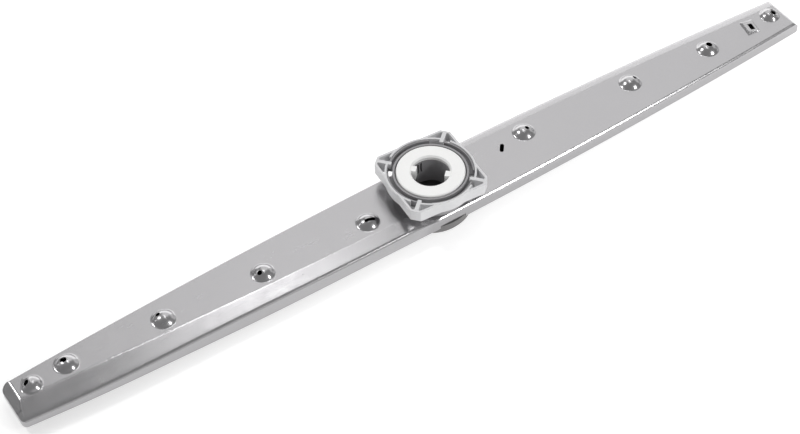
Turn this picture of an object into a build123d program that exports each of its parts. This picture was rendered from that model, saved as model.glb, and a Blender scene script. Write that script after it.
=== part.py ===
from build123d import *
import os
from math import cos, degrees, hypot, radians, sin, sqrt

# Dishwasher spray arm: a hollow arm of two stainless steel pressings on a moulded hub.
# The arm lies along X, the jets point up (+Z) and the feed enters the hub from above.
# The origin is on the hub's turning axis, in the plane on which the hub's flange stands.

# Arm, overall
arm_length = 465.0
width_at_hub = 39.7
width_at_tip = 23.2
edge_bow = 1.8
arm_depth = 8.0
underside_height = 3.7
sheet = 0.8
end_rake = 4.2
end_corner_radius = 3.4
end_bend = 1.3
end_side_spare = 0.25
top_rise = 0.02

# Front of the left half: a wide slope that turns steeper towards the tip
slope_starts = 6.0
slope_is_full = 30.0
stations_per_half = 5
slope_crease_at_hub = 9.4
slope_crease_at_tip = 1.0
slope_edge_inset_at_hub = 2.6
slope_edge_inset_at_tip = 0.4
slope_drop_at_hub = 1.3
slope_drop_at_tip = 3.2

# Back of the right half: a narrow bevel; every other long edge has a tight bend
bevel_run = 4.4
bevel_drop = 1.2
tight_run = 1.0
tight_bend = 1.3
bevel_foot_inset = 0.05
slope_bend = 1.6
crease_bend = 1.7
bottom_bend = 0.8
smallest_bend = 1.0

# Seam underneath: the upper pressing is hemmed under the lower one
hem_width = 2.6
lower_rim_height = 3.9
seam_clearance = 0.05

# Jets; the outer ones are placed from the arm's tips, the inner ones from the hub
dome_radius = 5.6
dome_height = 3.0
dome_hollow_crown = 2.6
dome_hollow_sides = 12
outer_jets = [
    # side of the hub, distance from the tip, y, offset of the hole in x and y, its radius
    (-1, 31.3, 4.9, -0.9, 0.9, 1.4),
    (-1, 80.5, 2.4, -1.6, 2.4, 1.05),
    (-1, 134.3, 0.4, -2.0, -0.9, 1.05),
    (1, 105.5, 2.7, 4.3, 0.6, 1.05),
    (1, 55.5, -0.3, 1.6, 0.3, 1.6),
]
inner_jet = (60.3, 5.3, 2.6, -0.2, 1.05)
slot_dome = (-39.3, -1.0)
slot_offset = (1.7, -1.0)
slot_dome_angle = -11.0
slot_length = 5.8
slot_width = 1.8
flat_slot = (45.4, 2.8)
flat_slot_angle = 52.0
flat_slot_length = 5.7
flat_slot_width = 2.1
tip_nozzles = [
    # side of the hub, distance from the tip, y
    (-1, 12.3, 3.9),
    (1, 10.5, 1.6),
]
nozzle_dome_radius = 4.8
nozzle_dome_height = 2.2
nozzle_radius = 2.5
nozzle_foot_radius = 3.0
nozzle_reach = 3.4
nozzle_tilt = 40.0
nozzle_hole_radius = 1.35
wedge_from_tip = 25.6
wedge_y = 1.4
wedge_base = (8.6, 12.4)
wedge_crest = (1.6, 7.0)
wedge_crest_shift = -1.3
wedge_height = 2.6
wedge_hole_offset = (-0.5, -2.8)
wedge_hole_width = 2.5

# Hub base: the flange under the arm and the ported tube that passes up through it
flange_radius = 20.5
flange_rise = 1.9
flange_edge_height = 1.6
flange_edge_width = 1.1
boss_radius = 19.0
seat_gap = 0.05
foot_width = 4.5
foot_recess = 1.1
base_floor = 1.5
steel_beside_tube = 2.75
tube_wall = 2.4
tube_top = 15.2
port_width = 19.0
port_margin = 0.3
flange_clearance = 0.7
recess_depth = 2.8
tube_clearance = 0.3

# Hub cup: pressed onto the tube above the arm, carries the bearing ring
cup_fit = 0.15
web_seat = 0.1
web_thickness = 1.6
cup_floor = 21.7
cup_floor_thickness = 1.4
cup_wall = 0.8
cup_radius = 21.75
cup_top = 24.3
lip_wall = 1.0
lip_radius = 19.0
lip_top = 24.4
sleeve_radius = 9.7
sleeve_wall = 1.7
sleeve_bottom = 7.6
slit_width = 1.0
slit_top = 21.2
slit_height = 6.5
slit_angles = (86.5, 96.8, 266.5, 276.8)
slit_overrun = 1.0

# Lock collar with four ears
hub_turn = -4.0
collar_fit = 0.15
collar_wall = 1.0
collar_bottom = 18.5
collar_top = 24.9
ledge_thickness = 1.1
ledge_play = 0.1
ear_flat = 21.9
ear_reach = 28.3
ear_wall = 1.2
ear_bend = 1.0
rib_width = 2.0
hook_radius = 20.3
ear_mouth = 3.2
ear_mouth_depth = 4.0
hook_gap = 0.25
bayonet_gap_angle = 17.0

# Bearing ring: turns in the hub cup, held to the feed pipe by its two bayonet lugs
ring_radius = 17.3
ring_bore = 9.75
ring_thickness = 2.4
ring_seat_gap = 0.2
ring_edge = 0.45
ring_bore_edge = 0.8
skirt_wall = 1.6
skirt_clearance = 0.3
claw_hook = 1.1
claw_depth = 4.6
claw_tip = 1.2
claw_slit = 2.2
claw_root = 0.5
claw_count = 6
lug_reach = 2.4
lug_width = 3.6
lug_depth = 6.0
lug_step = 0.35
lug_angles = (134.0, 314.0)

# Worked out from the sizes above
half_length = arm_length / 2
domed_jets = [(side * (half_length - inset), *rest) for side, inset, *rest in outer_jets]
domed_jets.append(inner_jet)
wedge_x = half_length - wedge_from_tip
arm_bottom = underside_height
arm_top = arm_bottom + arm_depth
inside_hollow = arm_top - 1.5 * sheet
rake_slope = end_rake / arm_depth
flange_top = arm_bottom + flange_rise
recess_ceiling = arm_bottom + recess_depth
recess_radius = flange_radius + flange_clearance
shell_hole_radius = width_at_hub / 2 - steel_beside_tube
tube_radius = shell_hole_radius - tube_clearance
web_bottom = tube_top + web_seat
web_top = web_bottom + web_thickness
ring_top = collar_top
ring_bottom = ring_top - ring_thickness
ring_seat = ring_bottom - ring_seat_gap
sleeve_outer = sleeve_radius + sleeve_wall
skirt_inner = sleeve_outer + skirt_clearance
skirt_outer = skirt_inner + skirt_wall
skirt_bottom = ring_bottom - claw_depth
seat_inner = skirt_outer + skirt_clearance
seat_underside = skirt_bottom + claw_tip + skirt_clearance
port_low = recess_ceiling + sheet + port_margin
port_high = arm_top - sheet - port_margin
ear_angles = [hub_turn + corner for corner in (45, 135, 225, 315)]
hook_side_angle = degrees((rib_width / 2 + hook_gap) / cup_radius)
hook_depth = collar_top - cup_floor - ledge_play
ledge_top = cup_floor - cup_floor_thickness - ledge_play
ledge_bottom = ledge_top - ledge_thickness
ledge_inner = lip_radius + hook_gap
collar_inner = cup_radius + collar_fit
collar_outer = collar_inner + collar_wall


def cylinder(radius, low, high):
    """A plain cylinder on the hub axis."""
    foot = (Align.CENTER, Align.CENTER, Align.MIN)
    return Pos(0, 0, low) * Cylinder(radius, high - low, align=foot)


def tube(outer, inner, low, high):
    """A ring or tube on the hub axis."""
    return cylinder(outer, low, high) - cylinder(inner, low - 1, high + 1)


def block(x_size, y_size, low, high):
    """A rectangular block centred on the hub axis."""
    foot = (Align.CENTER, Align.CENTER, Align.MIN)
    return Pos(0, 0, low) * Box(x_size, y_size, high - low, align=foot)


def between(start, end, share):
    """A size that changes evenly from the hub to the tip."""
    return start + (end - start) * share


def inset_polygon(points, amount):
    """Corners of an outline, given anticlockwise, moved inwards by one amount on every side."""
    lines = []
    for (x0, y0), (x1, y1) in zip(points, points[1:] + points[:1]):
        length = hypot(x1 - x0, y1 - y0)
        normal = ((y0 - y1) / length, (x1 - x0) / length)
        lines.append((*normal, normal[0] * x0 + normal[1] * y0 + amount))
    corners = []
    for (a, b, c), (d, e, f) in zip(lines[-1:] + lines[:-1], lines):
        det = a * e - b * d
        corners.append(((c * e - b * f) / det, (a * f - c * d) / det))
    return corners


def half_width_at(x):
    """Half the arm's width at a distance from the hub: an even taper with a slight bow."""
    share = abs(x) / half_length
    return between(width_at_hub, width_at_tip, share) / 2 + edge_bow * 4 * share * (1 - share)


def arm_section(x, inset):
    """Cross-section of the arm at a distance along it, negative to the left of the hub."""
    share = abs(x) / half_length
    bow = edge_bow * 4 * share * (1 - share)
    half_width = half_width_at(x)
    run = max(tight_run, inset)
    tight = (half_width - run, half_width, run, tight_bend, tight_bend)
    bevel = (half_width - bevel_run, half_width - bevel_foot_inset, bevel_drop, crease_bend, tight_bend)
    slope = (
        between(slope_crease_at_hub, slope_crease_at_tip, share) + bow,
        half_width - between(slope_edge_inset_at_hub, slope_edge_inset_at_tip, share),
        between(slope_drop_at_hub, slope_drop_at_tip, share),
        crease_bend,
        slope_bend,
    )
    front = slope if x < -slope_starts else tight
    back = bevel if x > slope_starts else tight
    foot = max(bottom_bend, inset)
    corners = [
        (-half_width, arm_bottom + foot),
        (-half_width + foot, arm_bottom),
        (half_width - foot, arm_bottom),
        (half_width, arm_bottom + foot),
        (back[1], arm_top - back[2]),
        (back[0], arm_top),
        (-front[0], arm_top),
        (-front[1], arm_top - front[2]),
    ]
    bends = [0, 0, 0, 0, back[4], back[3], front[3], front[4]]
    outline = inset_polygon(corners, inset)
    face = make_face(Polyline(*outline, close=True))
    for corner, bend in zip(outline, bends):
        if bend - inset > smallest_bend:
            here = face.vertices().sort_by_distance((*corner, 0))[0]
            face = fillet(here, bend - inset)
    return Plane(origin=(x, 0, 0), x_dir=(0, 1, 0), z_dir=(1, 0, 0)) * face


def arm_body(inset):
    """The arm as a closed body, every surface moved inwards by the inset, its ends raked."""
    steps = range(stations_per_half)
    stride = (half_length + end_rake - slope_is_full) / (stations_per_half - 1)
    right = [arm_section(slope_is_full + stride * step, inset) for step in steps]
    left = [arm_section(-slope_is_full - stride * step, inset) for step in steps]
    plain = [arm_section(x, inset) for x in (-slope_starts, slope_starts)]
    middle = loft([left[0], *plain, right[0]], ruled=True)
    body = middle + loft(right) + loft(left[::-1])
    return body & end_form(inset)


def end_form(inset):
    """What the arm's ends are trimmed to: raked, with rounded corners and a bend on top."""
    foot = half_length - inset * sqrt(1 + rake_slope**2)
    crown = arm_top - inset
    shoulder = foot - rake_slope * (crown - arm_bottom)
    side_view = make_face(
        Polyline(
            (0, 0),
            (foot + rake_slope * arm_bottom, 0),
            (shoulder, crown),
            (0, crown + top_rise * shoulder),
            close=True,
        )
    )
    side_view = fillet(side_view.vertices().sort_by_distance((shoulder, crown, 0))[0], end_bend)
    raked = extrude(Plane.XZ * side_view, width_at_hub, both=True)
    near = half_length - 4 * end_corner_radius
    spare = end_side_spare - inset
    top_view = make_face(
        Polyline(
            (0, -width_at_hub),
            (near, -half_width_at(near) - spare),
            (foot + rake_slope * arm_bottom, -half_width_at(half_length) - spare),
            (foot + rake_slope * arm_bottom, half_width_at(half_length) + spare),
            (near, half_width_at(near) + spare),
            (0, width_at_hub),
            close=True,
        )
    )
    corners = top_view.vertices().sort_by(Axis.X)[-2:]
    top_view = fillet(corners, end_corner_radius - inset)
    end = raked & extrude(top_view, 2 * arm_depth, dir=(-rake_slope, 0, 1))
    return end + mirror(end, Plane.YZ)


def plan_outline(inset):
    """The arm's outline seen from above, moved inwards."""
    reach = half_length - inset
    steps = range(-stations_per_half, stations_per_half + 1)
    stations = [reach * step / stations_per_half for step in steps]
    back = Spline(*[(x, half_width_at(x) - inset) for x in stations])
    front = mirror(back, Plane.XZ)
    outline = make_face([back, front, Line(back @ 0, front @ 0), Line(back @ 1, front @ 1)])
    return fillet(outline.vertices(), end_corner_radius - sheet)


def ball_of(radius, height):
    """Radius of the ball whose cap has the given base radius and height."""
    return (radius**2 + height**2) / (2 * height)


def dome(radius, height):
    """The outside of a pressed dome, standing on the arm's top."""
    ball = ball_of(radius, height)
    cap = Pos(0, 0, height - ball) * Sphere(ball)
    return Pos(0, 0, arm_top) * (cap & block(4 * radius, 4 * radius, -sheet / 2, 2 * height))


def dome_hollow(radius, height):
    """The inside of the same dome, open to the arm's hollow."""
    foot = Plane.XY * RegularPolygon(radius - sheet / 2, dome_hollow_sides)
    crown = Plane(origin=(0, 0, height + sheet / 2)) * RegularPolygon(dome_hollow_crown, dome_hollow_sides)
    return Pos(0, 0, inside_hollow) * loft([foot, crown])


def nozzle_axis(side, from_tip, y):
    """The leaning axis of an end nozzle, from just under the arm's top."""
    x = side * (half_length - from_tip)
    lean = radians(nozzle_tilt)
    return Plane(origin=(x, y, arm_top - sheet), z_dir=(side * sin(lean), 0, cos(lean)))


def wedge(base, crest, low, high):
    """A bump with a ridge across the arm."""
    foot = Plane(origin=(wedge_x, wedge_y, low)) * Rectangle(*base)
    ridge = Plane(origin=(wedge_x + wedge_crest_shift, wedge_y, high)) * Rectangle(*crest)
    return loft([foot, ridge])


def slot(length, width, angle, depth):
    """A cutter for a round-ended slot, turned from the arm's length."""
    return Rot(0, 0, angle) * extrude(SlotOverall(length, width), depth, both=True)


def upper_shell():
    """Upper pressing with its jets; its edge is folded under the lower pressing."""
    foot = (Align.CENTER, Align.CENTER, Align.MIN)
    body = arm_body(0)
    hollow = arm_body(sheet)
    holes = []
    for x, y in [(x, y) for x, y, *hole in domed_jets] + [slot_dome]:
        body += Pos(x, y) * dome(dome_radius, dome_height)
        hollow += Pos(x, y) * dome_hollow(dome_radius, dome_height)
    ball = ball_of(dome_radius, dome_height)
    for x, y, dx, dy, radius in domed_jets:
        rise = sqrt(ball**2 - dx**2 - dy**2)
        centre = arm_top + dome_height - ball
        skin = Plane(origin=(x + dx, y + dy, centre + rise), z_dir=(dx, dy, rise))
        holes.append(skin * Cylinder(radius, 4 * sheet))
    for side, from_tip, y in tip_nozzles:
        centre = Pos(side * (half_length - from_tip), y)
        axis = nozzle_axis(side, from_tip, y)
        body += centre * dome(nozzle_dome_radius, nozzle_dome_height)
        body += axis * Cone(nozzle_foot_radius, nozzle_radius, nozzle_reach, align=foot)
        hollow += centre * dome_hollow(nozzle_dome_radius, nozzle_dome_height)
        holes.append(axis * Cylinder(nozzle_hole_radius, 2 * nozzle_reach))
    body += wedge(wedge_base, wedge_crest, arm_top - sheet / 2, arm_top + wedge_height)
    inner_base = (wedge_base[0] - 2 * sheet, wedge_base[1] - 2 * sheet)
    inner_crest = (wedge_crest[0] / 2, wedge_crest[1] - sheet)
    hollow += wedge(inner_base, inner_crest, inside_hollow, arm_top + wedge_height - sheet)
    dx, dy = wedge_hole_offset
    square = Box(wedge_hole_width, wedge_hole_width, 2 * wedge_height)
    holes.append(Pos(wedge_x + dx, wedge_y + dy, arm_top + wedge_height) * square)
    dx, dy = slot_offset
    cut = slot(slot_length, slot_width, slot_dome_angle, dome_height)
    holes.append(Pos(slot_dome[0] + dx, slot_dome[1] + dy, arm_top + dome_height) * cut)
    cut = slot(flat_slot_length, flat_slot_width, flat_slot_angle, 2 * sheet)
    holes.append(Pos(*flat_slot, arm_top) * cut)
    holes.append(extrude(plan_outline(hem_width), arm_bottom + 1.5 * sheet))
    holes.append(cylinder(recess_radius, 0, recess_ceiling))
    holes.append(cylinder(shell_hole_radius, 0, 2 * arm_top))
    return body - hollow - holes


def lower_shell():
    """Lower pressing: a pan inside the fold, raised round the hub to take the flange."""
    fit = sheet + seam_clearance
    rim_top = arm_bottom + lower_rim_height
    pan = arm_body(fit) & block(2 * arm_length, 2 * width_at_hub, 0, rim_top)
    recess = cylinder(recess_radius + sheet, 0, recess_ceiling + sheet)
    pan -= arm_body(fit + sheet) - recess
    return pan - cylinder(recess_radius, 0, recess_ceiling) - cylinder(shell_hole_radius, 0, arm_top)


def hub_base():
    """Flange under the arm and the ported tube that lets the water out into the arm."""
    flange = cylinder(flange_radius, 0, flange_top)
    flange = chamfer(flange.edges().group_by(Axis.Z)[0], flange_edge_height, flange_edge_width)
    body = flange + cylinder(boss_radius, foot_recess, recess_ceiling - seat_gap)
    body += cylinder(tube_radius, foot_recess, tube_top)
    body -= cylinder(flange_radius - foot_width, -1, foot_recess)
    body -= cylinder(tube_radius - tube_wall, foot_recess + base_floor, tube_top + 1)
    return body - block(3 * tube_radius, port_width, port_low, port_high)


def hub_cup():
    """Cup above the arm: neck round the tube, feed sleeve, ring seat, lip and outer wall."""
    body = tube(lip_radius, tube_radius + cup_fit, arm_top + seat_gap, web_bottom)
    body += tube(lip_radius, sleeve_radius, web_bottom, web_top)
    body += tube(lip_radius, lip_radius - lip_wall, web_bottom, cup_floor)
    body += tube(sleeve_outer, sleeve_radius, sleeve_bottom, ring_seat)
    body += tube(lip_radius, seat_inner, seat_underside, ring_seat)
    body += tube(lip_radius, lip_radius - lip_wall, seat_underside, lip_top)
    body += tube(cup_radius, lip_radius - lip_wall, cup_floor - cup_floor_thickness, cup_floor)
    body += tube(cup_radius, cup_radius - cup_wall, cup_floor - cup_floor_thickness, cup_top)
    foot = (Align.MIN, Align.CENTER, Align.MIN)
    slit = Box(sleeve_wall + 2 * slit_overrun, slit_width, slit_height, align=foot)
    for angle in slit_angles:
        body -= Rot(0, 0, angle) * Pos(sleeve_radius - slit_overrun, 0, slit_top - slit_height) * slit
    for angle in ear_angles:
        notch = gap_sector(angle - hook_side_angle, angle + bayonet_gap_angle)
        body -= Pos(0, 0, cup_floor) * extrude(notch, cup_top, dir=(0, 0, 1))
        notch = gap_sector(angle + hook_side_angle, angle + bayonet_gap_angle)
        body -= Pos(0, 0, cup_floor - 2 * cup_floor_thickness) * extrude(notch, cup_top, dir=(0, 0, 1))
    return body


def gap_sector(start, end):
    """A sector of the cup's rim, between the lip and well outside the wall."""
    near = lip_radius + hook_gap
    far = 2 * cup_radius
    corners = [(near * cos(radians(a)), near * sin(radians(a))) for a in (start, (start + end) / 2, end)]
    outer = [(far * cos(radians(a)), far * sin(radians(a))) for a in (end, start)]
    return make_face([ThreePointArc(*corners), Polyline(corners[2], *outer, corners[0])])


def lock_collar():
    """Collar with four ears; the hook inside each ear holds it on the cup's rim."""
    octagon = Rectangle(2 * ear_flat, 2 * ear_flat) & Rot(0, 0, 45) * Rectangle(2 * ear_reach, 2 * ear_reach)
    octagon = fillet(octagon.vertices(), ear_bend)
    inner = Rectangle(2 * ear_flat - 2 * ear_wall, 2 * ear_flat - 2 * ear_wall)
    inner &= Rot(0, 0, 45) * Rectangle(2 * ear_reach - 2 * ear_wall, 2 * ear_reach - 2 * ear_wall)
    pockets = inner - Circle(collar_outer)
    for turn in (45, 135):
        pockets -= Rot(0, 0, turn) * Rectangle(4 * ear_reach, rib_width)
    height = collar_top - collar_bottom
    body = extrude(octagon + Circle(collar_outer), height) - extrude(pockets, height)
    body -= cylinder(ledge_inner, -1, height + 1)
    body -= cylinder(collar_inner, -1, ledge_bottom - collar_bottom)
    body -= cylinder(collar_inner, ledge_top - collar_bottom, height + 1)
    foot = (Align.MIN, Align.CENTER, Align.MAX)
    for turn in (45, 135, 225, 315):
        hook = Box(collar_outer - hook_radius, rib_width, hook_depth, align=foot)
        hook = Pos(hook_radius, 0, height) * hook
        mouth = Box(2 * collar_wall, ear_mouth, ear_mouth_depth, align=foot)
        mouth = Pos(collar_inner - collar_wall / 2, -(rib_width + ear_mouth) / 2, height) * mouth
        body = body - Rot(0, 0, turn) * mouth + Rot(0, 0, turn) * hook
    return Pos(0, 0, collar_bottom) * Rot(0, 0, hub_turn) * body


def bearing_ring():
    """Ring the arm turns on, with snap claws below and two bayonet lugs in its bore."""
    body = tube(ring_radius, ring_bore, ring_bottom, ring_top)
    rims = body.edges().filter_by(GeomType.CIRCLE).group_by(Axis.Z)[-1].sort_by(SortBy.RADIUS)
    body = chamfer(rims[0], ring_bore_edge)
    rims = body.edges().filter_by(GeomType.CIRCLE).sort_by(SortBy.RADIUS)[-2:].sort_by(Axis.Z)
    body = chamfer(rims[-1], ring_edge)
    middle_foot = (Align.CENTER, Align.CENTER, Align.MIN)
    hooks = Cone(skirt_outer, skirt_outer + claw_hook, claw_tip, align=middle_foot)
    claws = tube(skirt_outer, skirt_inner, skirt_bottom, ring_bottom)
    claws += Pos(0, 0, skirt_bottom) * hooks - cylinder(skirt_inner, 0, ring_top)
    outward = (Align.MIN, Align.CENTER, Align.MIN)
    gap = Box(2 * ring_radius, claw_slit, claw_depth - claw_root, align=outward)
    for step in range(claw_count):
        claws -= Rot(0, 0, step * 360 / claw_count) * Pos(0, 0, skirt_bottom) * gap
    body += claws
    hung = (Align.MIN, Align.CENTER, Align.MAX)
    lug = Box(lug_reach - lug_step, lug_width, lug_depth, align=hung)
    lug += Box(lug_reach + lug_step, lug_width, ring_thickness - lug_step, align=hung)
    for angle in lug_angles:
        body += Rot(0, 0, angle) * Pos(ring_bore - lug_reach, 0, ring_top - lug_step) * lug
    return body


if __name__ == "__main__":
    os.makedirs("parts", exist_ok=True)
    pieces = {
        "upper_shell": upper_shell(),
        "lower_shell": lower_shell(),
        "hub_base": hub_base(),
        "hub_cup": hub_cup(),
        "lock_collar": lock_collar(),
        "bearing_ring": bearing_ring(),
    }
    for name, solid in pieces.items():
        export_step(solid, f"parts/{name}.step")
        print(name, round(solid.volume, 1), "mm3, valid:", solid.is_valid)
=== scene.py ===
import math

import bmesh
import bpy
import numpy as np
from mathutils import Matrix, Vector


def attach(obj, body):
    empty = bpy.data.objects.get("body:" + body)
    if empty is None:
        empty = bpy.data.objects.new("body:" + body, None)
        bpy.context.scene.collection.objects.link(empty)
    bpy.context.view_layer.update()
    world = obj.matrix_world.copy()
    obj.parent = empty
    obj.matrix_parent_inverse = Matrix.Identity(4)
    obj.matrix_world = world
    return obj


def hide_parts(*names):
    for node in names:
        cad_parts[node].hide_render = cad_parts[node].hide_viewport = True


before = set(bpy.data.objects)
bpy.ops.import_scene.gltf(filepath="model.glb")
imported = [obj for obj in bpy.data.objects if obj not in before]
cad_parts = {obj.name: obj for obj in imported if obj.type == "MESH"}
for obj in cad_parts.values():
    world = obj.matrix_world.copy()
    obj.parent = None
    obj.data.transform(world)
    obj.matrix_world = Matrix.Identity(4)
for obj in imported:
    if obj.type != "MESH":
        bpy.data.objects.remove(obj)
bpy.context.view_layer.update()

MM = 0.001

# The camera: its lens, how it is turned, raised and rolled in radians, and where it stands
LENS_MM = 86.43
FILM_WIDTH_MM = 36
CAMERA_TURN = -0.5519
CAMERA_RISE = 0.8403
CAMERA_ROLL = -0.0406
CAMERA_DISTANCE = 967.0
CAMERA_SLIDE = (-15.743, -9.221)
CAMERA_LIFT = 4.2

# The arm's outline, in millimetres as all sizes below
HALF_LENGTH = 232.5
HALF_WIDTH_AT_HUB = 19.85
HALF_WIDTH_AT_TIP = 11.6
EDGE_BOW = 1.8
ARM_BOTTOM = 3.7
ARM_TOP = 11.7
# The left half's front edge stands out and hangs lower: how much, where most, over what length
FRONT_BULGE = (1.45, -195.0, 48.0)
FRONT_DROP = (1.3, -115.0, 50.0)

# The sheet, its bends and its folded edge
SHEET = 0.8
HEM_WIDTH = 2.6
SMALLEST_BEND = 0.15
FOOT_CHAMFER = 0.9
FOOT_BEND = 0.9
TIGHT_RUN = 1.0
TIGHT_BEND = 0.85
# The share of a face that the bend at one of its corners may take
CORNER_ROOM = 0.48

# The slope along the front of the left half; pairs are a size at the hub and at the tip
SLOPE_ENDS = 10.0
SLOPE_IS_FULL = 21.0
SLOPE_CREASE = (9.4, 1.0)
SLOPE_EDGE_INSET = (2.6, 0.4)
SLOPE_DROP = (1.3, 3.2)
SLOPE_CREASE_BEND = (2.5, 9.0)
SLOPE_EDGE_BEND = 2.2
SLOPE_SAG = 0.04
SLOPE_MIDDLE_BEND = 60

# The bevel along the back of the right half
BEVEL_STARTS = 6.0
BEVEL_IS_FULL = 30.0
BEVEL_WIDTH = 5.8
BEVEL_EDGE_INSET = 0.05
BEVEL_DROP = 1.3
BEVEL_TOP_BEND = 6.0
BEVEL_EDGE_BEND = 1.2

# The ends: a slope of 45 degrees over an upright lip
END_SLOPE_STARTS = 228.3
END_CORNER = 2.2
END_BEND = 0.5
END_FILLET = 0.15

# The hub's seat in the arm
RECESS_RADIUS = 21.2
RECESS_CEILING = 6.5
CENTRE_HOLE_RADIUS = 17.1

# The domed jets: x and y of the dome, how far off its middle the hole is, and the hole's radius
DOME_RADIUS = 5.6
DOME_HEIGHT = 3.0
DOMED_JETS = (
    (-201.2, 4.9, -0.9, 0.9, 1.6),
    (-151.0, 2.6, -1.7, 2.4, 1.2),
    (-97.5, 0.4, -2.3, -0.9, 1.25),
    (61.0, 5.5, 1.9, -0.3, 1.2),
    (127.8, 2.9, 3.3, 0.3, 1.15),
    (177.4, -0.1, 1.2, 0.2, 1.75),
)
SLOT_DOME = (-38.3, -1.0)
# The slots, one in a dome and one in the flat: x and y, turn in degrees, length and width
SLOTS = ((-37.6, -2.0, -11, 5.8, 1.8), (45.4, 2.8, 52, 5.7, 2.1))

# The tip nozzles: x and y, and which way and how far their flat leans, in degrees
NOZZLES = ((-220.2, 3.4, 151, 39), (221.6, 1.3, -24, 28))
NOZZLE_RADIUS = 5.2
NOZZLE_HEIGHT = 2.9
NOZZLE_FLAT_OUT = 2.1
NOZZLE_FLAT_HEIGHT = 1.6
NOZZLE_FLAT_FILLET = 0.5
NOZZLE_HOLE = 1.6
NOZZLE_LIP_RADIUS = 2.2
NOZZLE_LIP_WIDTH = 0.4
NOZZLE_LIP_HEIGHT = 0.5

# The wedge beside the right tip, in its own turned frame; its sides are left, right, front, back
WEDGE_MIDDLE = (206.9, 0.2)
WEDGE_TURN = -11
WEDGE_LEFT_FRONT = (-3.65, -4.9)
WEDGE_RIGHT_BACK = (3.6, 4.8)
WEDGE_SIDE_RISES = (1.9, 1.2, 3.2, 1.1)
WEDGE_CREST_X = -2.4
WEDGE_CREST_HEIGHT = 1.25
WEDGE_CREST_FALL = 0.14
WEDGE_FILLET = 0.25
WEDGE_WALL = 1.2
WEDGE_HOLE_MIDDLE = (0.5, -0.7)
WEDGE_HOLE_SIZE = (2.6, 4.6)

# How softly each form's foot runs into the flat, outside and inside the sheet
OUTER_FOOT = 1.0
INNER_FOOT = 0.5
DOME_FOOT_SHARE = 1.0
NOZZLE_FOOT_SHARE = 0.7
WEDGE_FOOT_SHARE = 0.35
# No pressed form reaches farther than this from its middle
FORM_REACH = 9.3
# Forms are pressed out of the top alone: from this far under it they fade out, over this height
FORMS_FADE_FROM = 2.6
FORMS_FADE_OVER = 1.0

# The meshes of the two skins: the smallest and largest step along the arm, and steps across the top
OUTER_STEPS = (0.5, 3.0, 64)
INNER_STEPS = (1.2, 6.0, 24)
ARC_STEPS = 6
# The small steps are taken near a form or an end: how near, and what share of the smallest step
DOME_ZONE = (7, 1.0)
NOZZLE_ZONE = (7, 0.7)
WEDGE_ZONE = (5, 0.5)
END_ZONE = (5.7, 0.7)

# How deep and how high each kind of hole is cut, from the outside of the sheet
DOME_CUT = (-3.4, 3)
NOZZLE_CUT = (-3, 3)
SLOT_CUT = (-2.5, 5)
WEDGE_CUT = (-2, 5)
UNDERSIDE_CUT = (-2, 1.2)
UNDERSIDE_STEPS = 40
CENTRE_CUT_RISE = 5

# The collar's ledge is cut away beside each ear: the angles of the first cut in degrees, the
# cuts' inner and outer radius, and their lowest and highest level
EARS = 4
LEDGE_CUT_ANGLES = (42, 58)
LEDGE_CUT_RADII = (18.5, 21.75)
LEDGE_CUT_LEVELS = (18.9, 20.4)

# The studio, in metres: lights are a name, a direction, a distance, width and height,
# how bright the light looks, and the line its width lies along where that isn't level
LIGHTS = (
    ("back_left_light", (-0.40, 0.527, 0.75), 1.8, (0.26, 0.26), 37),
    ("crease_strip", (0.195, 0.37, 0.908), 2.0, (0.24, 0.08), 17, (0.33, 0.11, -0.11)),
    ("overhead_panel", (0.21, 0.2, 0.957), 2.0, (0.24, 0.64), 3.5, (1, 0, 0)),
    ("front_right_light", (0.45, -0.67, 0.58), 1.8, (0.29, 0.29), 24),
    ("right_panel", (0.9, 0.25, 0.3), 2.4, (1.6, 1.1), 0.65),
    ("front_panel", (-0.1, -0.92, 0.33), 2.6, (3.0, 1.2), 0.5),
    ("left_light", (-0.708, 0.569, 0.417), 1.8, (0.18, 0.18), 5),
    ("sky_panel", (0.45, 0.6, 0.72), 2.2, (1.7, 1.4), 0.85),
    ("back_wall", (0.45, 0.9, 0.2), 2.4, (3.0, 1.0), 1.75),
)
SURROUND = 0.37
FLOOR_REACH = 6.0
# Painted light: the floor glows though it is no lamp, to look white with faint shadows
FLOOR_GLOW = 0.82
# The floor's glow is painted light, and it glows less at the left as painted shade on the arm's left side
# walls; how fast that changes, for each metre
FLOOR_GLOW_AT_LEFT = 0.47
FLOOR_GLOW_SLOPE = 1.6


def place_camera():
    """The viewing angle from the front left, looking down on the arm."""
    right = Vector((math.cos(CAMERA_TURN), math.sin(CAMERA_TURN), 0))
    level = Vector((math.sin(CAMERA_TURN), -math.cos(CAMERA_TURN), 0))
    back = level * math.cos(CAMERA_RISE) + Vector((0, 0, math.sin(CAMERA_RISE)))
    up = back.cross(right)
    side = right * math.cos(CAMERA_ROLL) + up * math.sin(CAMERA_ROLL)
    top = up * math.cos(CAMERA_ROLL) - right * math.sin(CAMERA_ROLL)
    place = back * CAMERA_DISTANCE + side * CAMERA_SLIDE[0] + top * CAMERA_SLIDE[1]
    place.z += CAMERA_LIFT
    data = bpy.data.cameras.new("studio_camera")
    data.lens = LENS_MM
    data.sensor_width = FILM_WIDTH_MM
    data.clip_start = 0.05
    data.clip_end = 20
    camera = bpy.data.objects.new("studio_camera", data)
    turned = Matrix((side, top, back)).transposed().to_4x4()
    camera.matrix_world = Matrix.Translation(place * MM) @ turned
    bpy.context.collection.objects.link(camera)
    bpy.context.scene.camera = camera


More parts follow.
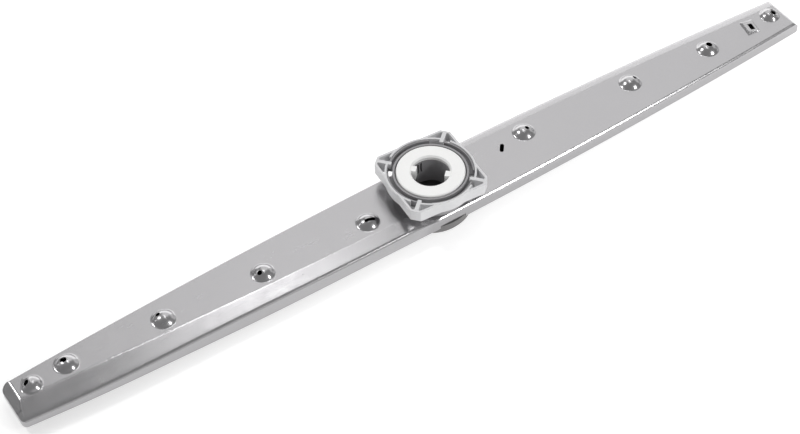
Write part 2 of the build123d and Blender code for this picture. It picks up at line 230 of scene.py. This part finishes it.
class Field:
    """A number that changes over a surface; arithmetic on it adds Math nodes."""

    def __init__(self, nodes, socket):
        self.nodes = nodes
        self.socket = socket

    def _math(self, operation, a, b):
        node = self.nodes.node("ShaderNodeMath", {"operation": operation}, {0: a, 1: b})
        return Field(self.nodes, node.outputs[0])

    def __add__(self, other):
        return self._math("ADD", self, other)

    def __radd__(self, other):
        return self._math("ADD", other, self)

    def __sub__(self, other):
        return self._math("SUBTRACT", self, other)

    def __rsub__(self, other):
        return self._math("SUBTRACT", other, self)

    def __mul__(self, other):
        return self._math("MULTIPLY", self, other)

    def __rmul__(self, other):
        return self._math("MULTIPLY", other, self)

    def __truediv__(self, other):
        return self._math("DIVIDE", self, other)

    def __rtruediv__(self, other):
        return self._math("DIVIDE", other, self)

    def clamp(self):
        """Held between 0 and 1."""
        return self._math("MINIMUM", self._math("MAXIMUM", self, 0.0), 1.0)


class Nodes:
    """A node tree under construction."""

    def __init__(self, tree):
        self.tree = tree

    def node(self, kind, settings=None, sockets=None):
        """Any node: its settings are set first, then the values or links of its sockets."""
        node = self.tree.nodes.new(kind)
        for key, value in (settings or {}).items():
            setattr(node, key, value)
        for key, value in (sockets or {}).items():
            if isinstance(value, Field):
                value = value.socket
            if isinstance(value, bpy.types.NodeSocket):
                self.tree.links.new(value, node.inputs[key])
            else:
                node.inputs[key].default_value = value
        return node


class Finish(Nodes):
    """One procedural material, written in the object's own coordinates in metres."""

    def __init__(self, name):
        self.material = bpy.data.materials.new(name)
        self.material.use_nodes = True
        super().__init__(self.material.node_tree)
        self.tree.nodes.clear()
        self.place = self.node("ShaderNodeTexCoord").outputs["Object"]

    def axis(self, name):
        """One coordinate in metres."""
        node = self.node("ShaderNodeSeparateXYZ", None, {0: self.place})
        return Field(self, node.outputs[name])

    def noise(self, size_mm, detail, rough, stretch=(1, 1, 1)):
        """Soft noise from 0 to 1, whose features are about this large along each axis."""
        scale = [factor / (size_mm * MM) for factor in stretch]
        mapped = {"Vector": self.place, "Scale": scale}
        place = self.node("ShaderNodeMapping", {"vector_type": "POINT"}, mapped).outputs["Vector"]
        sockets = {"Vector": place, "Scale": 1.0, "Detail": detail, "Roughness": rough}
        node = self.node("ShaderNodeTexNoise", {"noise_dimensions": "3D"}, sockets)
        return Field(self, node.outputs["Fac"])

    def blend(self, factor, low, high):
        """A colour between two others."""
        settings = {"data_type": "RGBA", "clamp_factor": True}
        node = self.node("ShaderNodeMix", settings, {0: factor, 6: low, 7: high})
        return node.outputs[2]

    def bump(self, height, distance_mm, strength, normal=None):
        """A surface normal raised by a height field."""
        sockets = {"Height": height, "Distance": distance_mm * MM, "Strength": strength}
        if normal is not None:
            sockets["Normal"] = normal
        return self.node("ShaderNodeBump", None, sockets).outputs["Normal"]

    def surface(self, **values):
        """The shader itself; underscores in the names stand for spaces."""
        sockets = {key.replace("_", " "): value for key, value in values.items()}
        shader = self.node("ShaderNodeBsdfPrincipled", None, sockets)
        self.node("ShaderNodeOutputMaterial", None, {"Surface": shader.outputs["BSDF"]})
        return self.material


def shaded(tone, factor):
    """A colour made darker or lighter."""
    return (*[min(1.0, channel * factor) for channel in tone], 1.0)


def pressed_steel(name, tone, roughness):
    """Cold-rolled stainless sheet: fine rolling lines, soft cloudiness, small scuffs."""
    finish = Finish(name)
    cloud = finish.noise(size_mm=38, detail=3, rough=0.6)
    patch = finish.noise(size_mm=9, detail=4, rough=0.6)
    grain = finish.noise(size_mm=0.35, detail=2, rough=0.6, stretch=(0.05, 1, 1))
    speckle = finish.noise(size_mm=0.28, detail=2, rough=0.7)
    shade = (cloud - 0.5) * 0.25 + (patch - 0.5) * 0.12 + (grain - 0.5) * 0.16 + 0.5
    colour = finish.blend(shade, shaded(tone, 0.9), shaded(tone, 1.1))
    rough = roughness + (patch - 0.5) * 0.12 + (grain - 0.5) * 0.10
    normal = finish.bump(grain * 0.5 + speckle * 0.5, distance_mm=0.004, strength=0.4)
    normal = finish.bump(patch, distance_mm=0.03, strength=0.15, normal=normal)
    return finish.surface(Base_Color=colour, Metallic=1.0, Roughness=rough, Normal=normal)


def moulded_plastic(name, tone, roughness, spread=0.08):
    """Injection-moulded plastic with a faint spark-eroded grain."""
    finish = Finish(name)
    cloud = finish.noise(size_mm=14, detail=3, rough=0.6)
    grain = finish.noise(size_mm=0.22, detail=2, rough=0.6)
    shade = (cloud - 0.5) * 0.8 + (grain - 0.5) * 0.5 + 0.5
    colour = finish.blend(shade, shaded(tone, 1 - spread), shaded(tone, 1 + spread))
    rough = roughness + (grain - 0.5) * 0.14
    normal = finish.bump(grain, distance_mm=0.006, strength=0.5)
    return finish.surface(Base_Color=colour, Roughness=rough, Normal=normal, IOR=1.48)


STEEL = pressed_steel("pressed_steel", (0.415, 0.41, 0.418), 0.24)
PAN_STEEL = pressed_steel("pan_steel", (0.40, 0.395, 0.40), 0.34)
DARK_PLASTIC = moulded_plastic("dark_moulding", (0.20, 0.195, 0.195), 0.5)
CUP_PLASTIC = moulded_plastic("cup_grey_moulding", (0.31, 0.305, 0.315), 0.48)
GREY_PLASTIC = moulded_plastic("grey_moulding", (0.70, 0.70, 0.71), 0.42)
WHITE_PLASTIC = moulded_plastic("white_moulding", (0.96, 0.96, 0.95), 0.38, 0.02)


def between(low, high, share):
    """A value that changes evenly from one to another."""
    return low + (high - low) * share


def bow_at(x):
    """How far the arm's edges bow out from a straight taper."""
    share = abs(x) / HALF_LENGTH
    return EDGE_BOW * 4 * share * (1 - share)


def half_width_at(x):
    """Half the arm's width at a distance from the hub."""
    return between(HALF_WIDTH_AT_HUB, HALF_WIDTH_AT_TIP, abs(x) / HALF_LENGTH) + bow_at(x)


def swell(x, most, middle, spread):
    """A soft swelling along the arm, largest at its middle."""
    return most * math.exp(-(((x - middle) / spread) ** 2))


def tight_edge(half_width, inset):
    """A plain bent edge: where the top ends, where the side starts, its drop and its two bends."""
    run = max(TIGHT_RUN, inset)
    return half_width - run, half_width, run, TIGHT_BEND, TIGHT_BEND


def sloped_edge(x, front_edge):
    """The front slope, given as the tight edge is."""
    share = abs(x) / HALF_LENGTH
    crease = between(*SLOPE_CREASE, share) + bow_at(x)
    edge = front_edge - between(*SLOPE_EDGE_INSET, share)
    return crease, edge, between(*SLOPE_DROP, share), between(*SLOPE_CREASE_BEND, share), SLOPE_EDGE_BEND


def bevelled_edge(half_width):
    """The back bevel, given as the tight edge is."""
    edge = half_width - BEVEL_EDGE_INSET
    return half_width - BEVEL_WIDTH, edge, BEVEL_DROP, BEVEL_TOP_BEND, BEVEL_EDGE_BEND


def section_corners(x, inset, top_steps):
    """The cross-section's corners, anticlockwise from the front foot.

    Each is its y and z, the bend there and the number of steps along the face that follows.
    """
    half_width = half_width_at(x)
    front_edge = half_width + swell(x, *FRONT_BULGE)
    front_foot = ARM_BOTTOM - swell(x, *FRONT_DROP)
    foot = max(FOOT_CHAMFER, inset)
    front = tight_edge(half_width, inset)
    back = tight_edge(half_width, inset)
    sag = 0.0
    if x < -SLOPE_ENDS:
        front = sloped_edge(x, front_edge)
        sag = SLOPE_SAG * (abs(x) / HALF_LENGTH) ** 1.5
    if x > BEVEL_STARTS:
        back = bevelled_edge(half_width)
    front_top, front_side, front_drop, front_top_bend, front_side_bend = front
    back_top, back_side, back_drop, back_top_bend, back_side_bend = back
    front_middle = (front_top + front_side) / 2
    return [
        (-front_edge, front_foot + foot, FOOT_BEND, 2),
        (-front_edge + foot, front_foot, FOOT_BEND, 4),
        (half_width - foot, ARM_BOTTOM, FOOT_BEND, 2),
        (half_width, ARM_BOTTOM + foot, FOOT_BEND, 3),
        (back_side, ARM_TOP - back_drop, back_side_bend, 3),
        (back_top, ARM_TOP, back_top_bend, top_steps),
        (-front_top, ARM_TOP, front_top_bend, 3),
        (-front_middle, ARM_TOP - front_drop / 2 - sag, SLOPE_MIDDLE_BEND, 3),
        (-front_side, ARM_TOP - front_drop, front_side_bend, 3),
    ]


def inset_polygon(points, amount):
    """Corners of an anticlockwise outline, moved inwards by one amount on every side."""
    lines = []
    for (x0, y0), (x1, y1) in zip(points, points[1:] + points[:1]):
        length = math.hypot(x1 - x0, y1 - y0)
        normal = ((y0 - y1) / length, (x1 - x0) / length)
        lines.append((*normal, normal[0] * x0 + normal[1] * y0 + amount))
    corners = []
    for (a, b, c), (d, e, f), (x, y) in zip(lines[-1:] + lines[:-1], lines, points):
        det = a * e - b * d
        if abs(det) < 1e-6:
            corners.append((x + a * amount, y + b * amount))
        else:
            corners.append(((c * e - b * f) / det, (a * f - c * d) / det))
    return corners


def rounded_corner(before, corner, after, bend):
    """The arc that rounds a corner, as far as the faces beside it leave room."""
    here = Vector(corner)
    back = Vector(before) - here
    on = Vector(after) - here
    room = CORNER_ROOM * min(back.length, on.length)
    back.normalize()
    on.normalize()
    half = min(back.angle(on) / 2, math.radians(89.9))
    reach = min(bend / math.tan(half), room)
    radius = reach * math.tan(half)
    middle = here + (back + on).normalized() * (radius / math.sin(half))
    start = here + back * reach - middle
    turn = math.pi - 2 * half
    arc = []
    for step in range(ARC_STEPS + 1):
        cosine = math.cos(turn * step / ARC_STEPS)
        sine = math.sin(turn * step / ARC_STEPS)
        y = middle.x + start.x * cosine - start.y * sine
        z = middle.y + start.x * sine + start.y * cosine
        arc.append((y, z))
    return arc


def section_ring(x, inset, top_steps):
    """Points round the cross-section: every corner an arc, every face between them divided."""
    table = section_corners(x, inset, top_steps)
    corners = inset_polygon([(y, z) for y, z, bend, steps in table], inset)
    arcs = []
    for index, (_, _, bend, _) in enumerate(table):
        before, corner, after = corners[index - 1], corners[index], corners[(index + 1) % len(corners)]
        arcs.append(rounded_corner(before, corner, after, max(SMALLEST_BEND, bend - inset)))
    ring = []
    for arc, following, (_, _, _, steps) in zip(arcs, arcs[1:] + arcs[:1], table):
        ring += arc
        for step in range(1, steps):
            ring.append(tuple(between(a, b, step / steps) for a, b in zip(arc[-1], following[0])))
    return np.array(ring)


def ring_at(x, inset, top_steps):
    """The cross-section anywhere along the arm; round the hub it changes evenly."""
    stops = (-SLOPE_IS_FULL, -SLOPE_ENDS, BEVEL_STARTS, BEVEL_IS_FULL)
    for low, high in zip(stops, stops[1:]):
        if low < x < high:
            share = (x - low) / (high - low)
            return between(section_ring(low, inset, top_steps), section_ring(high, inset, top_steps), share)
    return section_ring(x, inset, top_steps)


def soft_max(a, b, fillet):
    """The larger of two heights, with a fillet where they meet."""
    mix = np.clip(0.5 + 0.5 * (a - b) / fillet, 0, 1)
    return b + (a - b) * mix + fillet * mix * (1 - mix)


def soft_min(a, b, fillet):
    """The smaller of two heights, with a fillet where they meet."""
    return -soft_max(-a, -b, fillet)


def ball_radius(radius, height):
    """Radius of the ball whose cap has this radius at its foot and this height."""
    return (radius**2 + height**2) / (2 * height)


def cap_height(r, radius, height, inset):
    """Height of a ball-shaped cap over the arm's top at a distance from its middle."""
    ball = ball_radius(radius, height)
    shrunk = ball - inset
    under_foot = -height * (r > shrunk)
    return np.sqrt(np.maximum(shrunk**2 - r**2, 0)) - (ball - height) + under_foot


def turned_to(x, y, turn):
    """Distances along and across a direction, given in degrees round from +X."""
    angle = math.radians(turn)
    return x * math.cos(angle) + y * math.sin(angle), y * math.cos(angle) - x * math.sin(angle)


def dome_form(x, y, inset):
    """A round dome, over places given from its middle."""
    return cap_height(np.hypot(x, y), DOME_RADIUS, DOME_HEIGHT, inset)


def nozzle_form(x, y, inset, turn, tilt):
    """A dome with a leaning flat, and outside it a raised lip round the hole in the flat."""
    cap = cap_height(np.hypot(x, y), NOZZLE_RADIUS, NOZZLE_HEIGHT, inset)
    along, across = turned_to(x, y, turn)
    out = along - NOZZLE_FLAT_OUT
    lean = math.radians(tilt)
    flat = NOZZLE_FLAT_HEIGHT - inset / math.cos(lean) - out * math.tan(lean)
    form = soft_min(cap, flat, NOZZLE_FLAT_FILLET)
    if inset == 0:
        from_lip = np.hypot(out / math.cos(lean), across) - NOZZLE_LIP_RADIUS
        form = form + NOZZLE_LIP_HEIGHT * np.exp(-((from_lip / NOZZLE_LIP_WIDTH) ** 2))
    return form


def wedge_form(x, y, inset):
    """A low wedge whose crest falls away to the right."""
    along, across = turned_to(x, y, WEDGE_TURN)
    form = WEDGE_CREST_HEIGHT - WEDGE_CREST_FALL * (along - WEDGE_CREST_X)
    left, front = WEDGE_LEFT_FRONT
    right, back = WEDGE_RIGHT_BACK
    sides = (along - left, right - along, across - front, back - across)
    for side, rise in zip(sides, WEDGE_SIDE_RISES):
        form = soft_min(form, side * rise, WEDGE_FILLET)
    return form - inset * WEDGE_WALL


def jets_height(x, y, inset):
    """How far the pressed forms stand over the arm's top, at every given place."""
    forms = [(jet[:2], dome_form, (), DOME_FOOT_SHARE) for jet in (*DOMED_JETS, SLOT_DOME)]
    forms += [(jet[:2], nozzle_form, jet[2:], NOZZLE_FOOT_SHARE) for jet in NOZZLES]
    forms.append((WEDGE_MIDDLE, wedge_form, (), WEDGE_FOOT_SHARE))
    foot = INNER_FOOT if inset else OUTER_FOOT
    height = np.full(x.shape, -float(inset))
    for (middle_x, middle_y), form, leaning_to, foot_share in forms:
        from_x = x - middle_x
        from_y = y - middle_y
        near = np.hypot(from_x, from_y) < FORM_REACH
        pressed = form(from_x[near], from_y[near], inset, *leaning_to)
        height[near] = soft_max(height[near], pressed, foot * foot_share)
    return np.maximum(height + inset, 0)


def stations(fine, coarse):
    """Places along the arm, close together round the jets and at the ends."""
    zones = [(jet[0], *DOME_ZONE) for jet in (*DOMED_JETS, SLOT_DOME)]
    zones += [(nozzle[0], *NOZZLE_ZONE) for nozzle in NOZZLES]
    zones += [(WEDGE_MIDDLE[0], *WEDGE_ZONE), (-HALF_LENGTH, *END_ZONE), (HALF_LENGTH, *END_ZONE)]
    places = [-HALF_LENGTH]
    while places[-1] < HALF_LENGTH:
        x = places[-1]
        step = coarse
        for middle, reach, share in zones:
            if middle - reach - coarse < x < middle + reach:
                step = min(step, fine * share)
        places.append(x + step)
    places[-1] = HALF_LENGTH
    for mark in (-SLOPE_IS_FULL, -SLOPE_ENDS, BEVEL_STARTS, BEVEL_IS_FULL):
        nearest = min(range(len(places)), key=lambda index: abs(places[index] - mark))
        places[nearest] = mark
    return places


def skin_ring(x, inset, top_steps):
    """One ring of the arm's skin, with its end forms and its jets."""
    reach = HALF_LENGTH - inset
    ring = ring_at(x, inset, top_steps)
    y, z = ring[:, 0].copy(), ring[:, 1].copy()
    from_end = reach - abs(x)
    corner = END_CORNER - inset
    if from_end < corner:
        squeeze = corner - math.sqrt(corner**2 - (corner - from_end) ** 2)
        half_width = half_width_at(x) - inset
        y *= (half_width - squeeze) / half_width
    slope_starts = END_SLOPE_STARTS - inset * (math.sqrt(2) - 1)
    if abs(x) > slope_starts - END_BEND:
        sunk = soft_max(abs(x) - slope_starts, 0.0, END_BEND)
        z = soft_min(z, np.full(z.shape, ARM_TOP - inset - sunk), END_FILLET)
    along = np.full(y.shape, x)
    facing_up = np.clip((z - (ARM_TOP - FORMS_FADE_FROM)) / FORMS_FADE_OVER, 0, 1)
    z = z + jets_height(along, y, inset) * facing_up
    return np.stack([along, y, z], axis=1)


def arm_skin(inset, fine, coarse, top_steps):
    """One closed skin of the arm: its rings of points and the faces between them."""
    shrink = (HALF_LENGTH - inset) / HALF_LENGTH
    rings = [skin_ring(place * shrink, inset, top_steps) for place in stations(fine, coarse)]
    count = len(rings[0])
    faces = []
    for index in range(len(rings) - 1):
        first, second = index * count, (index + 1) * count
        for point in range(count):
            following = (point + 1) % count
            faces.append((first + point, second + point, second + following, first + following))
    last = (len(rings) - 1) * count
    faces.append(tuple(range(count)))
    faces.append(tuple(last + point for point in reversed(range(count))))
    if inset:
        faces = [face[::-1] for face in faces]
    return np.concatenate(rings), faces


def new_piece(name, points, faces, material):
    """A mesh object from points in millimetres."""
    mesh = bpy.data.meshes.new(name)
    mesh.from_pydata((np.asarray(points) * MM).tolist(), [], faces)
    mesh.materials.append(material)
    piece = bpy.data.objects.new(name, mesh)
    bpy.context.collection.objects.link(piece)
    return piece


def join_close_points(mesh, distance, flat_angle=None):
    """Joins points that lie on one another, then faces in one plane or else edges of no length."""
    work = bmesh.new()
    work.from_mesh(mesh)
    bmesh.ops.remove_doubles(work, verts=work.verts, dist=distance)
    if flat_angle is None:
        bmesh.ops.dissolve_degenerate(work, edges=work.edges, dist=1e-8)
    else:
        bmesh.ops.dissolve_limit(work, angle_limit=flat_angle, verts=work.verts, edges=work.edges)
    work.to_mesh(mesh)
    work.free()


def smooth_by_angle(piece, degrees):
    """Shades a piece smooth, apart from its sharper edges."""
    piece.data.shade_smooth()
    piece.data.set_sharp_from_angle(angle=math.radians(degrees))


def apply_modifiers(piece):
    """Turns what a piece's modifiers make into its own plain mesh."""
    bpy.context.view_layer.update()
    seen = piece.evaluated_get(bpy.context.evaluated_depsgraph_get())
    made = bpy.data.meshes.new_from_object(seen)
    piece.modifiers.clear()
    old = piece.data
    piece.data = made
    bpy.data.meshes.remove(old)


def cut(piece, cutters):
    """Takes the cutters out of a piece, for good."""
    for cutter in cutters:
        modifier = piece.modifiers.new("cut", "BOOLEAN")
        modifier.operation = "DIFFERENCE"
        modifier.solver = "EXACT"
        modifier.object = cutter
        apply_modifiers(piece)
        mesh = cutter.data
        bpy.data.objects.remove(cutter)
        bpy.data.meshes.remove(mesh)


def arc_points(radius, first, last, steps, x=0.0, y=0.0):
    """Points on an arc between two angles in degrees, both ends counted."""
    angles = [math.radians(between(first, last, step / steps)) for step in range(steps + 1)]
    return [(x + radius * math.cos(angle), y + radius * math.sin(angle)) for angle in angles]


def circle(radius, steps):
    """A full circle, anticlockwise."""
    return arc_points(radius, 0, 360, steps)[:-1]


def prism(name, outline, low, high, turned=Matrix()):
    """A straight-sided cutter over an anticlockwise outline, turned and moved to its place."""
    count = len(outline)
    points = [turned @ Vector((x, y, z)) for z in (low, high) for x, y in outline]
    faces = [tuple(reversed(range(count))), tuple(range(count, 2 * count))]
    faces += [(i, (i + 1) % count, (i + 1) % count + count, i + count) for i in range(count)]
    return new_piece(name, [tuple(point) for point in points], faces, STEEL)


def leaning(x, y, z, normal):
    """A place whose upright leans along a normal."""
    turn = Vector(normal).to_track_quat("Z", "Y").to_matrix().to_4x4()
    return Matrix.Translation((x, y, z)) @ turn


def upright(x, y, turn):
    """A place on the arm's top, turned in degrees."""
    return Matrix.Translation((x, y, ARM_TOP)) @ Matrix.Rotation(math.radians(turn), 4, "Z")


def dome_cutters():
    """The holes of the domed jets, each square to the dome's wall."""
    ball = ball_radius(DOME_RADIUS, DOME_HEIGHT)
    for x, y, out_x, out_y, radius in DOMED_JETS:
        rise = math.sqrt(ball**2 - out_x**2 - out_y**2)
        height = ARM_TOP + DOME_HEIGHT - ball + rise
        place = leaning(x + out_x, y + out_y, height, (out_x, out_y, rise))
        yield prism("jet_cut", circle(radius, steps=40), *DOME_CUT, place)


def nozzle_cutters():
    """The holes in the nozzles' leaning flats."""
    for x, y, turn, tilt in NOZZLES:
        lean = math.radians(tilt)
        out_x = math.cos(math.radians(turn))
        out_y = math.sin(math.radians(turn))
        normal = (out_x * math.sin(lean), out_y * math.sin(lean), math.cos(lean))
        flat_x = x + out_x * NOZZLE_FLAT_OUT
        flat_y = y + out_y * NOZZLE_FLAT_OUT
        place = leaning(flat_x, flat_y, ARM_TOP + NOZZLE_FLAT_HEIGHT, normal)
        yield prism("nozzle_cut", circle(NOZZLE_HOLE, steps=36), *NOZZLE_CUT, place)


def slot_cutters():
    """The round-ended slots."""
    for x, y, turn, length, width in SLOTS:
        end = (length - width) / 2
        outline = arc_points(width / 2, -90, 90, steps=11, x=end)
        outline += arc_points(width / 2, 90, 270, steps=11, x=-end)
        yield prism("slot_cut", outline, *SLOT_CUT, upright(x, y, turn))


def wedge_cutter():
    """The oblong hole in the wedge."""
    x, y = WEDGE_HOLE_MIDDLE
    left, right = x - WEDGE_HOLE_SIZE[0] / 2, x + WEDGE_HOLE_SIZE[0] / 2
    front, back = y - WEDGE_HOLE_SIZE[1] / 2, y + WEDGE_HOLE_SIZE[1] / 2
    outline = [(left, front), (right, front), (right, back), (left, back)]
    return prism("wedge_cut", outline, *WEDGE_CUT, upright(*WEDGE_MIDDLE, WEDGE_TURN))


def underside_cutter():
    """The open underside, inside the folded edge."""
    reach = HALF_LENGTH - HEM_WIDTH
    places = [between(-reach, reach, step / UNDERSIDE_STEPS) for step in range(UNDERSIDE_STEPS + 1)]
    front = [(x, HEM_WIDTH - half_width_at(x)) for x in places]
    back = [(x, half_width_at(x) - HEM_WIDTH) for x in reversed(places)]
    depth, rise = UNDERSIDE_CUT
    return prism("underside_cut", front + back, ARM_BOTTOM + depth, ARM_BOTTOM + rise)


def upper_shell():
    """The upper pressing: two skins a sheet apart, pierced by its jets and open underneath."""
    outer_points, outer_faces = arm_skin(0, *OUTER_STEPS)
    inner_points, inner_faces = arm_skin(SHEET, *INNER_STEPS)
    shift = len(outer_points)
    faces = outer_faces + [tuple(index + shift for index in face) for face in inner_faces]
    points = np.concatenate([outer_points, inner_points])
    piece = new_piece("pressed_upper_shell", points, faces, STEEL)
    join_close_points(piece.data, distance=1e-7)
    cutters = [*dome_cutters(), *nozzle_cutters(), *slot_cutters(), wedge_cutter(), underside_cutter()]
    cutters.append(prism("recess_cut", circle(RECESS_RADIUS, steps=160), 0, RECESS_CEILING))
    centre = circle(CENTRE_HOLE_RADIUS, steps=120)
    cutters.append(prism("centre_cut", centre, -1, ARM_TOP + CENTRE_CUT_RISE))
    cut(piece, cutters)
    smooth_by_angle(piece, degrees=30)
    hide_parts("upper_shell")
    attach(piece, "arm")


def dressed(node, name, body, material, edge_mm, cutters=()):
    """A copy of a CAD piece with its edges broken, in place of that piece."""
    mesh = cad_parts[node].data.copy()
    mesh.name = name
    join_close_points(mesh, distance=2e-6, flat_angle=math.radians(0.6))
    mesh.materials.clear()
    mesh.materials.append(material)
    piece = bpy.data.objects.new(name, mesh)
    bpy.context.collection.objects.link(piece)
    cut(piece, cutters)
    smooth_by_angle(piece, degrees=25)
    bevel = piece.modifiers.new("broken_edges", "BEVEL")
    bevel.width = edge_mm * MM
    bevel.segments = 2
    bevel.limit_method = "ANGLE"
    bevel.angle_limit = math.radians(35)
    bevel.use_clamp_overlap = True
    bevel.harden_normals = True
    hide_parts(node)
    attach(piece, body)


def round_the_hub(piece, count, material):
    """Repeats a piece evenly round the hub's axis, with a node tree, and makes it a plain mesh."""
    tree = bpy.data.node_groups.new("round_the_hub", "GeometryNodeTree")
    tree.interface.new_socket("Piece", in_out="INPUT", socket_type="NodeSocketGeometry")
    count_input = tree.interface.new_socket("Count", in_out="INPUT", socket_type="NodeSocketInt")
    finish_input = tree.interface.new_socket("Finish", in_out="INPUT", socket_type="NodeSocketMaterial")
    tree.interface.new_socket("Pieces", in_out="OUTPUT", socket_type="NodeSocketGeometry")
    nodes = Nodes(tree)
    inputs = nodes.node("NodeGroupInput").outputs
    points = nodes.node("GeometryNodePoints", None, {"Count": inputs["Count"]})
    index = Field(nodes, nodes.node("GeometryNodeInputIndex").outputs["Index"])
    turn = index * (2 * math.pi) / Field(nodes, inputs["Count"])
    rotation = nodes.node("ShaderNodeCombineXYZ", None, {"Z": turn})
    places = {"Points": points.outputs[0], "Instance": inputs["Piece"], "Rotation": rotation.outputs[0]}
    copies = nodes.node("GeometryNodeInstanceOnPoints", None, places)
    solid = nodes.node("GeometryNodeRealizeInstances", None, {"Geometry": copies.outputs[0]})
    finish = {"Geometry": solid.outputs[0], "Material": inputs["Finish"]}
    finished = nodes.node("GeometryNodeSetMaterial", None, finish)
    nodes.node("NodeGroupOutput", None, {"Pieces": finished.outputs[0]})
    modifier = piece.modifiers.new("round_the_hub", "NODES")
    modifier.node_group = tree
    modifier[count_input.identifier] = count
    modifier[finish_input.identifier] = material
    apply_modifiers(piece)


def ledge_cutter():
    """What is cut out of the collar's ledge beside its ears, where the cup's rim is open too."""
    inner, outer = LEDGE_CUT_RADII
    first, last = LEDGE_CUT_ANGLES
    outline = arc_points(outer, first, last, ARC_STEPS) + arc_points(inner, last, first, ARC_STEPS)
    cutter = prism("ledge_cut", outline, *LEDGE_CUT_LEVELS)
    round_the_hub(cutter, EARS, GREY_PLASTIC)
    return cutter


def softbox(name, direction, distance, size, radiance, along=None):
    """A soft light seen in one direction, given by how bright it looks."""
    toward = Vector(direction).normalized()
    along = Vector(along) if along else Vector((0, 0, 1)).cross(toward)
    width = (along - toward * along.dot(toward)).normalized()
    turned = Matrix((width, toward.cross(width), toward)).transposed().to_4x4()
    data = bpy.data.lights.new(name, "AREA")
    data.shape = "RECTANGLE"
    data.size, data.size_y = size
    data.energy = radiance * math.pi * size[0] * size[1]
    lamp = bpy.data.objects.new(name, data)
    lamp.matrix_world = Matrix.Translation(toward * distance) @ turned
    bpy.context.collection.objects.link(lamp)


def pale_floor():
    """A plain pale floor that glows a little as painted light, and glows less at its left as painted shade
    for the arm's left side walls.
    """
    finish = Finish("pale_floor")
    cloud = finish.noise(size_mm=300, detail=2, rough=0.5)
    colour = finish.blend(cloud, (0.70, 0.70, 0.70, 1), (0.72, 0.72, 0.72, 1))
    # painted light and shade: the glow is weaker at the left so the arm's left side reflects a darker floor
    to_the_right = (finish.axis("X") * FLOOR_GLOW_SLOPE + 0.5).clamp()
    low = FLOOR_GLOW_AT_LEFT
    glow = finish.blend(to_the_right, (low, low, low, 1), (1, 1, 1, 1))
    glowing = {"Emission_Color": glow, "Emission_Strength": FLOOR_GLOW}
    surface = finish.surface(Base_Color=colour, Roughness=0.9, **glowing)
    reach = FLOOR_REACH
    mesh = bpy.data.meshes.new("floor")
    corners = [(-reach, -reach, 0), (reach, -reach, 0), (reach, reach, 0), (-reach, reach, 0)]
    mesh.from_pydata(corners, [], [(0, 1, 2, 3)])
    mesh.materials.append(surface)
    floor = bpy.data.objects.new("floor", mesh)
    bpy.context.collection.objects.link(floor)


def studio():
    """Floor, dim surround and soft boxes."""
    world = bpy.data.worlds.new("studio_world")
    world.use_nodes = True
    background = world.node_tree.nodes["Background"]
    background.inputs["Color"].default_value = (1, 1, 1, 1)
    background.inputs["Strength"].default_value = SURROUND
    bpy.context.scene.world = world
    bpy.context.scene.view_settings.view_transform = "Standard"
    pale_floor()
    for light in LIGHTS:
        softbox(*light)


place_camera()
upper_shell()
dressed("lower_shell", "pressed_lower_shell", "arm", PAN_STEEL, 0.12)
dressed("hub_base", "flange_moulding", "arm", DARK_PLASTIC, 0.25)
dressed("hub_cup", "cup_moulding", "arm", CUP_PLASTIC, 0.18)
dressed("lock_collar", "collar_moulding", "arm", GREY_PLASTIC, 0.22, [ledge_cutter()])
dressed("bearing_ring", "ring_moulding", "ring", WHITE_PLASTIC, 0.2)
studio()
